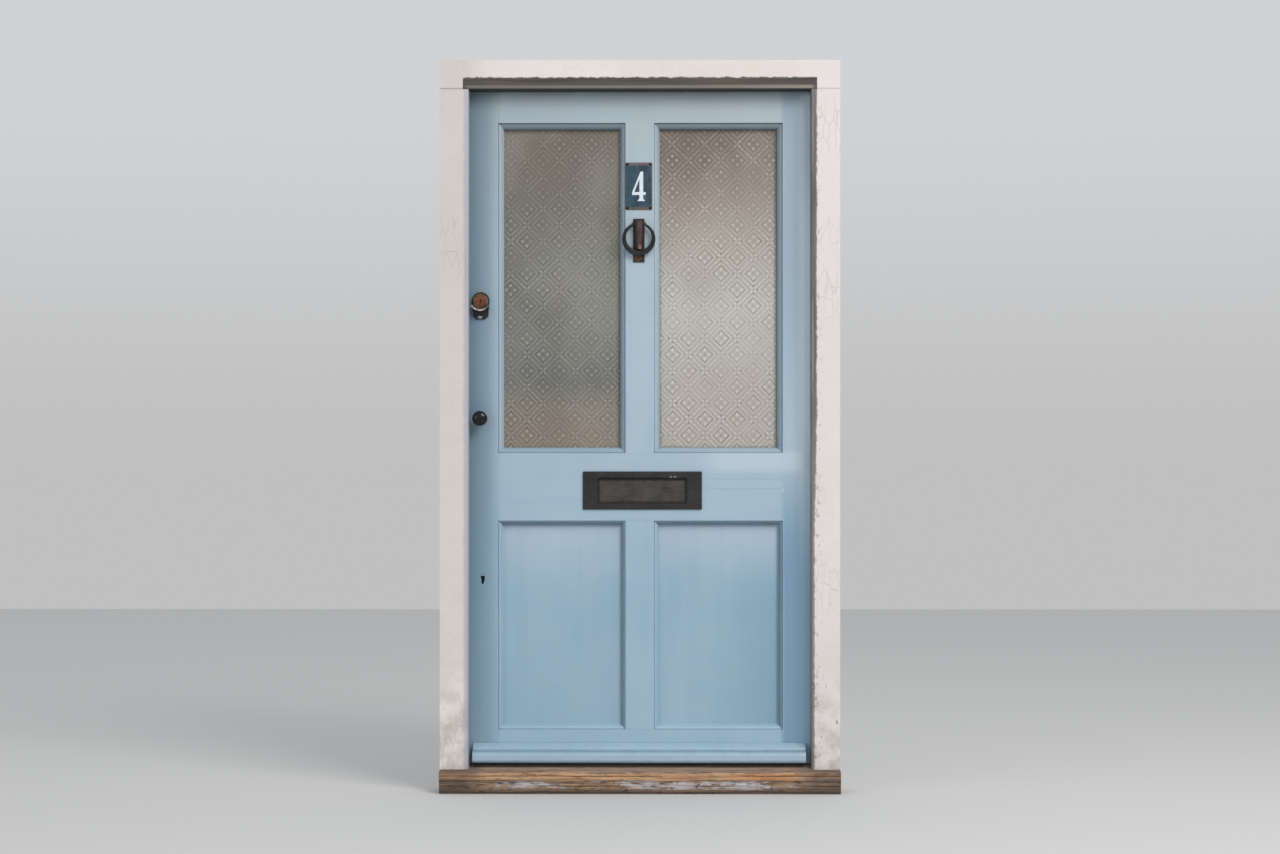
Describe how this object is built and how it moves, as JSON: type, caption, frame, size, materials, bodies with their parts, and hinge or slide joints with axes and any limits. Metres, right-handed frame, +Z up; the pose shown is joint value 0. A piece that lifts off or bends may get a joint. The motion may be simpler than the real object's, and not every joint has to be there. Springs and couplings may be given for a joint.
{
  "type": "half-glazed front door",
  "caption": "Single-leaf timber front door hung in its rebated frame: patterned lights over flat panels, letterplate, ring knocker, pull, knob, weather bar and sill.",
  "frame": {"origin": "middle of the frame's width, underside of the sill, middle of the jambs' depth", "axes": "+Z up, -Y out of the house, +X to the right seen from outside"},
  "size_m": [1.04, 0.176, 1.903],
  "materials": {
    "paint": "weathered blue-grey gloss paint on timber",
    "frame_paint": "weathered off-white paint on timber",
    "sill_oak": "bare weathered hardwood with traces of paint",
    "glass": "etched pattern on clear glass",
    "black_iron": "black painted cast iron, worn",
    "rusty_iron": "rusted forged iron",
    "steel": "dull steel",
    "brass": "aged brass",
    "lock_paint": "brown lock enamel",
    "enamel": "dark vitreous enamel on steel"
  },
  "bodies": {
    "frame": {"sill": "sill_oak", "head": "frame_paint", "jamb_lock_side": "frame_paint", "jamb_hinge_side": "frame_paint", "latch_keep": "lock_paint", "deadlock_keep": "brass", "keep_screws": "steel", "hinge_frame_leaves": "steel", "hinge_pins": "steel", "hinge_frame_screws": "steel"},
    "leaf": {"lock_stile": "paint", "hinge_stile": "paint", "top_rail": "paint", "lock_rail": "paint", "bottom_rail": "paint", "upper_muntin": "paint", "lower_muntin": "paint", "panel_left": "paint", "panel_right": "paint", "glass_left": "glass", "glass_right": "glass", "beads_upper_left": "paint", "beads_upper_right": "paint", "beads_lower_left": "paint", "beads_lower_right": "paint", "weather_bar": "paint", "letterplate": "black_iron", "letterplate_bolts": "steel", "flap_rod": "steel", "number_plaque": "enamel", "plaque_screws": "steel", "knocker_plate": "black_iron", "knocker_tongue": "rusty_iron", "knocker_bolts": "black_iron", "cylinder_pull": "black_iron", "lock_cylinder": "brass", "cylinder_bolts": "steel", "latch_case": "lock_paint", "latch_screws": "steel", "pull_knob": "black_iron", "knob_bolt": "steel", "deadlock_case": "steel", "deadlock_forend": "brass", "forend_screws": "steel", "hinge_door_leaves": "steel", "hinge_door_screws": "steel"},
    "flap": {"letterplate_flap": "black_iron"},
    "ring": {"knocker_ring": "black_iron"},
    "plug": {"cylinder_plug": "brass"},
    "latch": {"latch_bolt": "brass"},
    "turn": {"latch_turn": "lock_paint"},
    "snib": {"latch_snib": "lock_paint"},
    "dead_bolt": {"deadbolt": "brass"}
  },
  "joints": [
    {"name": "door_swing", "type": "hinge", "parent": "frame", "child": "leaf", "pos_m": [0.4585, 0.0545, 0.993], "axis": [0, 0, -1], "range_deg": [0, 100]},
    {"name": "flap_swing", "type": "hinge", "parent": "leaf", "child": "flap", "pos_m": [0.006, 0.011, 0.823], "axis": [1, 0, 0], "range_deg": [0, 80]},
    {"name": "ring_lift", "type": "hinge", "parent": "leaf", "child": "ring", "pos_m": [-0.003, -0.01, 1.481], "axis": [-1, 0, 0], "range_deg": [0, 90]},
    {"name": "plug_turn", "type": "hinge", "parent": "leaf", "child": "plug", "pos_m": [-0.417, 0, 1.281], "axis": [0, 1, 0], "range_deg": [-90, 90]},
    {"name": "turn_knob", "type": "hinge", "parent": "leaf", "child": "turn", "pos_m": [-0.417, 0.07, 1.281], "axis": [0, 1, 0], "range_deg": [0, 60]},
    {"name": "latch_slide", "type": "slide", "parent": "leaf", "child": "latch", "axis": [-1, 0, 0], "range_m": [0, 0.0135]},
    {"name": "snib_slide", "type": "slide", "parent": "leaf", "child": "snib", "axis": [-1, 0, 0], "range_m": [0, 0.0075]},
    {"name": "deadbolt_slide", "type": "slide", "parent": "leaf", "child": "dead_bolt", "axis": [-1, 0, 0], "range_m": [0, 0.015]}
  ],
  "couplings": [
    {"joint": "latch_slide", "follows": "turn_knob", "m_per_rad": 0.012414}
  ]
}
